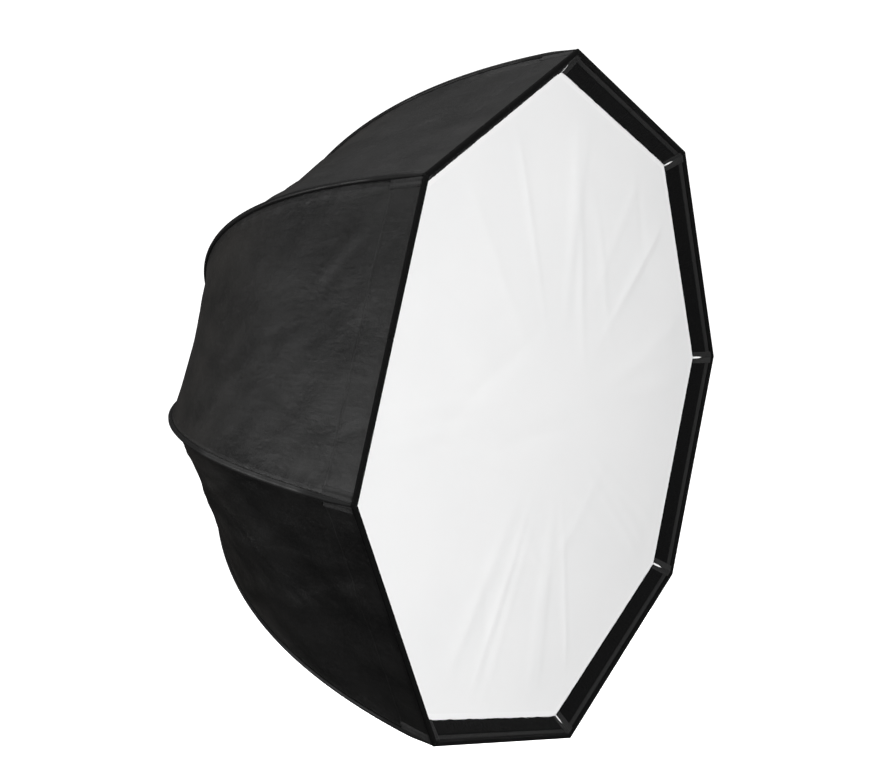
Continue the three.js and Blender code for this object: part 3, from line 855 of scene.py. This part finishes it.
def beside_seam(corner, end, lengths, distances, heights):
    """Points over the canopy at lengths from the rim and distances from a seam, raised from the cloth."""
    out, side = arm(corner - 0.5 if end > 0 else corner + 0.5)
    flat = math.cos(HALF)
    r, y = on_curve(lengths)
    dr, dy = along_curve(lengths)
    facing = dy[:, None] * out - (dr * flat)[:, None] * np.array([0, 1, 0])
    across = -end * ((r * math.sin(HALF))[:, None] - distances[None])
    base = (r * flat)[:, None] * out + (RIM_Y + y)[:, None] * np.array([0, 1, 0])
    points = base[:, None] + across[..., None] * side
    return points + np.broadcast_to(heights, across.shape)[..., None] * facing[:, None]


def pocket_patch(corner, end, side):
    """Half of the webbing over a rib's pocket, two raised stripes beside the seam."""
    reach = np.linspace(3 * MM, 42 * MM, 22)
    share = np.linspace(0, 1, 13)
    distances = share * 11 * MM
    top = 1.5 * MM + 0.6 * MM * np.sin(2 * math.pi * (2 * share - 0.25)) - 0.4 * MM * bell(share - 1, 0.06)
    cloth = np.stack(np.broadcast_arrays(distances[None], reach[:, None], distances[None]), -1)
    outer = beside_seam(corner, end, reach, distances, top)
    inner = beside_seam(corner, end, reach, distances, 0.1 * MM)
    return shell(f"rib_pocket_{side}_{corner + 1}", outer, inner, [PATCH], cloth)


# --- The diffuser -----------------------------------------------------------------------------------

SECTORS = 48
SECTOR_TURN = 2 * math.pi / SECTORS
SECTOR_COLUMNS = 6
SECTOR_ROWS = 60


def diffuser_height(x, z):
    """How far the cloth stands forward: creases drawn out from the corners, and slack between."""
    draw = np.random.RandomState(7)
    reach = np.hypot(x, z)
    calm = smooth(DIFFUSER_RADIUS * math.cos(HALF) - reach, 0, 60 * MM)
    height = 2.2 * MM * (1 - (reach / DIFFUSER_RADIUS) ** 2)
    for corner in range(SIDES):
        out, side = arm(corner)
        for _ in range(3):
            lean = math.radians(draw.uniform(-16, 16))
            way = math.cos(lean) * out + math.sin(lean) * side
            off = np.abs(x * -way[2] + z * way[0] - draw.uniform(-25, 25) * MM)
            on = x * way[0] + z * way[2]
            tall = draw.uniform(0.7, 1.3) * MM
            near = smooth(on, 60 * MM, 260 * MM) * smooth(380 * MM - on, 0, 70 * MM)
            height = height + tall * bell(off, draw.uniform(7, 13) * MM) * near
    for _ in range(16):
        turn = draw.uniform(0, math.pi)
        x0, z0 = draw.uniform(-230, 230, 2) * MM
        on = (x - x0) * math.cos(turn) + (z - z0) * math.sin(turn)
        off = -(x - x0) * math.sin(turn) + (z - z0) * math.cos(turn) + 5 * MM * np.sin(on / (40 * MM))
        height = height + draw.uniform(-1.3, 1.4) * MM * bell(off, 10 * MM) * bell(on, 90 * MM)
    return height * calm


def diffuser_point(turn, share):
    """A point of the diffuser by its turn about the shaft and its share of the way out to the edge."""
    edge = DIFFUSER_RADIUS * math.cos(HALF) / np.cos((turn - math.pi / 2) % (2 * HALF) - HALF)
    reach = np.maximum(share, 0.0005) * edge
    x, z = reach * np.cos(turn), reach * np.sin(turn)
    return np.stack([x, DIFFUSER_Y + 0.4 * MM - diffuser_height(x, z), z], -1)


def diffuser_normal(turn, share):
    """The way the diffuser faces at a point, from its height nearby."""
    p = diffuser_point(turn, share)
    x, z, step = p[..., 0], p[..., 2], 0.5 * MM
    dx = (diffuser_height(x + step, z) - diffuser_height(x - step, z)) / (2 * step)
    dz = (diffuser_height(x, z + step) - diffuser_height(x, z - step)) / (2 * step)
    normal = np.stack([-dx, -np.ones_like(dx), -dz], -1)
    return normal / np.linalg.norm(normal, axis=-1, keepdims=True)


def diffuser():
    """The white front, in sectors that ride on the diffuser's body."""
    for sector in range(SECTORS):
        first = math.pi / 2 + sector * SECTOR_TURN
        turn = first + SECTOR_TURN * np.linspace(0, 1, SECTOR_COLUMNS + 1)
        share = np.linspace(0, 1, SECTOR_ROWS + 1)
        grid = np.meshgrid(share, turn, indexing="ij")
        points = diffuser_point(grid[1], grid[0])
        normals = diffuser_normal(grid[1], grid[0])
        rows, columns = points.shape[:2]
        flip = np.cross(points[2, 1] - points[1, 1], points[1, 2] - points[1, 1])[1] > 0
        faces = grid_faces(rows, columns, flip=not flip)
        obj = new_piece(f"diffuser_{sector + 1}", points.reshape(-1, 3), faces, [WHITE])
        note_cloth(obj, points.reshape(-1, 3)[:, (0, 2, 1)])
        obj.data.normals_split_custom_set_from_vertices([tuple(v) for v in normals.reshape(-1, 3)])
        drawn_in(obj)


def drawn_in(obj):
    """Rides on the diffuser's body, in place of the frame's diffuser part."""
    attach(obj, "diffuser")
    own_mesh(obj)
    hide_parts("diffuser")


def diffuser_hem():
    """A doubled hem around the white front, in sectors like its own."""
    rise = np.array([0.05, 0.45, 0.45, 0.45, 0.05])[:, None, None]
    for sector in range(SECTORS):
        turn = math.pi / 2 + SECTOR_TURN * (sector + np.linspace(0, 1, SECTOR_COLUMNS + 1))
        grid = np.meshgrid(np.linspace(0.981, 0.9985, 5), turn, indexing="ij")
        base = diffuser_point(grid[1], grid[0])
        raised = base - np.array([0, 1, 0]) * rise * MM
        facing = np.broadcast_to(np.array([0.0, -1.0, 0.0]), base.shape)
        name = f"diffuser_hem_{sector + 1}"
        obj = shell(name, raised, base + np.array([0, 0.25 * MM, 0]), [WHITE_HEM], base, facing)
        drawn_in(obj)


def corner_tabs():
    """The small white tabs that show in the slits at the lip's corners."""
    lift = 3.4 * MM  # brings a tab in front of the pile, as far back as forward of the lip
    for corner in range(SIDES):
        reach = np.linspace(RADIUS - LIP_IN - 2.4 * MM, RADIUS - LIP_IN + 7.4 * MM, 6)[:, None]
        back = (RADIUS - reach) * LIP_BACK / LIP_IN - lift
        across = np.linspace(-1.5, 1.5, 4)[None] * MM
        top = place(corner, reach, back, across)
        low = place(corner, reach + 0.4 * MM, back + 0.6 * MM, across)
        cloth = np.stack(np.broadcast_arrays(across, reach, across), -1)
        obj = shell(f"corner_tab_{corner + 1}", top, low, [WHITE_HEM], cloth)
        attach(obj, f"rib_{corner + 1}")


# --- The zip ----------------------------------------------------------------------------------------


def zip_strip():
    """The zip beside the bottom rib: two tapes and a coil of teeth, cut where the canopy's bands are."""
    corner = 4
    low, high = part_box("zip_tape")
    first, last = (float(np.interp(y - RIM_Y, CURVE[:, 1], LENGTHS)) for y in (low.y, high.y))
    edges = [0.0, *BAND_ENDS]
    for band, (start, end) in enumerate(zip(edges, edges[1:])):
        radius, keep = band_fold(start, end)
        start, end = max(start, first), min(end, last)
        if end - start < 1 * MM:
            continue
        reach = np.linspace(start, end, max(3, int((end - start) / (6 * MM))))
        distances = np.array([6, 6.6, 9, 12, 15, 16.4, 19.6, 21, 24, 27, 29.4, 30]) * MM
        raised = np.array([0.7, 1.2, 1.2, 1.2, 1.2, 1.5, 1.5, 1.2, 1.2, 1.2, 1.2, 0.7]) * MM
        cloth = np.stack(np.broadcast_arrays(distances[None], reach[:, None], distances[None]), -1)
        outer = beside_seam(corner, 1, reach, distances, raised)
        inner = beside_seam(corner, 1, reach, distances, 0.55 * MM)
        tape = shell(f"zip_tape_{band + 1}", outer, inner, [ZIP_CLOTH], cloth)
        fold_with(tape, corner, corner - 0.5, radius, keep, "zip_tape", "zip_tape")
        fine = np.arange(start, end, 0.45 * MM)
        line = beside_seam(corner, 1, fine, np.array([18 * MM]), 1.5 * MM)[:, 0]
        thick = (1.25 + 0.4 * np.sin(2 * math.pi * fine / (1.8 * MM))) * MM
        coil = tube(f"zip_coil_{band + 1}", line, thick, ZIP_CLOTH, 8)
        note_cloth(coil, np.repeat(np.stack([fine, fine, fine], -1), 8, axis=0))
        fold_with(coil, corner, corner - 0.5, radius, keep, slot="zip_tape")


# --- Hardware ---------------------------------------------------------------------------------------


def hardware():
    """The frame's own rods, hubs and fittings, with their edges rounded and their finishes."""
    for part in frame["record"]["subparts"]:
        node = frame["nodes"][part["node"]]
        if node.hide_render:
            continue
        slot = part["material_slot"]
        node.data.materials.clear()
        node.data.materials.append(HARDWARE[slot])
        node.data.normals_split_custom_set([(0, 0, 0)] * len(node.data.loops))
        node.data.polygons.foreach_set("use_smooth", [True] * len(node.data.polygons))
        node.modifiers.new("weld", "WELD").merge_threshold = 0.01 * MM
        bevel = node.modifiers.new("round", "BEVEL")
        bevel.width = 0.25 * MM
        bevel.segments = 2
        bevel.angle_limit = math.radians(32)
        bevel.harden_normals = True


# --- The studio -------------------------------------------------------------------------------------

WHITE_OUT = 1.2  # strength at which the floor and the backdrop come out white
SKY_LOW = 0.005
SKY_HIGH = 0.15
LAMPS = (  # name, position, target, size and power
    ("front", (-1.3, -3.2, 0.3), (0.0, -0.1, 0.0), (2.2, 2.2), 131.0),
    ("above", (-0.5, 0.5, 2.4), (0.0, 0.15, 0.0), (2.4, 1.8), 40.0),
    ("behind_left", (-2.0, 1.8, 0.0), (-0.3, 0.0, 0.0), (0.8, 0.6), 24.0),
    ("right", (2.4, 1.0, -0.5), (0.2, 0.1, 0.0), (1.6, 1.6), 45.0),
)


def floor():
    """A plain pale floor, far enough below to fall out of the picture as white."""
    size, depth = 30.0, -1.25
    corners = [(-size, -size, depth), (size, -size, depth), (size, size, depth), (-size, size, depth)]
    n = Nodes("floor")
    n.surface(base_color=grey(0.9), roughness=0.9)
    n.set(n.shader, "Emission Color", grey(1.0))
    n.set(n.shader, "Emission Strength", WHITE_OUT)
    obj = new_piece("floor", corners, [(0, 1, 2, 3)], [n.material])
    obj.visible_diffuse = False
    obj.visible_glossy = False
    obj.visible_shadow = False


def world():
    """White behind the object, and a soft light on it that is stronger from above."""
    new = bpy.data.worlds.new("studio")
    bpy.context.scene.world = new
    new.use_nodes = True
    nodes, links = new.node_tree.nodes, new.node_tree.links
    nodes.clear()
    direction = nodes.new("ShaderNodeTexCoord")
    parts = nodes.new("ShaderNodeSeparateXYZ")
    rise = nodes.new("ShaderNodeMapRange")
    for key, value in (("From Min", -0.4), ("From Max", 1.0), ("To Min", SKY_LOW), ("To Max", SKY_HIGH)):
        rise.inputs[key].default_value = value
    soft = nodes.new("ShaderNodeBackground")
    white = nodes.new("ShaderNodeBackground")
    soft.inputs["Color"].default_value = white.inputs["Color"].default_value = grey(1.0)
    white.inputs["Strength"].default_value = WHITE_OUT
    path = nodes.new("ShaderNodeLightPath")
    mix = nodes.new("ShaderNodeMixShader")
    output = nodes.new("ShaderNodeOutputWorld")
    links.new(direction.outputs["Generated"], parts.inputs[0])
    links.new(parts.outputs["Z"], rise.inputs["Value"])
    links.new(rise.outputs["Result"], soft.inputs["Strength"])
    links.new(path.outputs["Is Camera Ray"], mix.inputs[0])
    links.new(soft.outputs[0], mix.inputs[1])
    links.new(white.outputs[0], mix.inputs[2])
    links.new(mix.outputs[0], output.inputs[0])


def lamp(name, position, target, size, power):
    """A soft rectangular lamp, turned towards a target and not seen itself."""
    data = bpy.data.lights.new(name, "AREA")
    data.shape = "RECTANGLE"
    data.size, data.size_y = size
    data.energy = power
    obj = bpy.data.objects.new(name, data)
    obj.location = position
    obj.rotation_euler = (Vector(target) - Vector(position)).to_track_quat("-Z", "Y").to_euler()
    obj.visible_camera = False
    bpy.context.scene.collection.objects.link(obj)


def camera():
    """Stands off to the left of the open front and a little above it."""
    azimuth, elevation, roll = math.radians(55.3), math.radians(12.57), math.radians(-0.65)
    away, shift, lift = 3.574 * RADIUS, -0.3700 * RADIUS, 0.0755 * RADIUS
    flat = math.cos(elevation)
    back = Vector((-math.sin(azimuth) * flat, -math.cos(azimuth) * flat, math.sin(elevation)))
    right = Vector((0, 0, 1)).cross(back).normalized()
    up = back.cross(right)
    right, up = math.cos(roll) * right + math.sin(roll) * up, math.cos(roll) * up - math.sin(roll) * right
    data = bpy.data.cameras.new("camera")
    data.lens, data.sensor_width = 50.9, 36
    obj = bpy.data.objects.new("camera", data)
    obj.location = Vector((0, RIM_Y, 0)) + back * away + right * shift + up * lift
    obj.rotation_euler = Matrix((right, up, back)).transposed().to_euler()
    bpy.context.scene.collection.objects.link(obj)
    bpy.context.scene.camera = obj


canopy()
piping()
front_edge()
corner_patches()
diffuser()
diffuser_hem()
corner_tabs()
zip_strip()
hardware()
floor()
world()
for spec in LAMPS:
    lamp(*spec)
camera()
bpy.context.scene.view_settings.view_transform = "Standard"
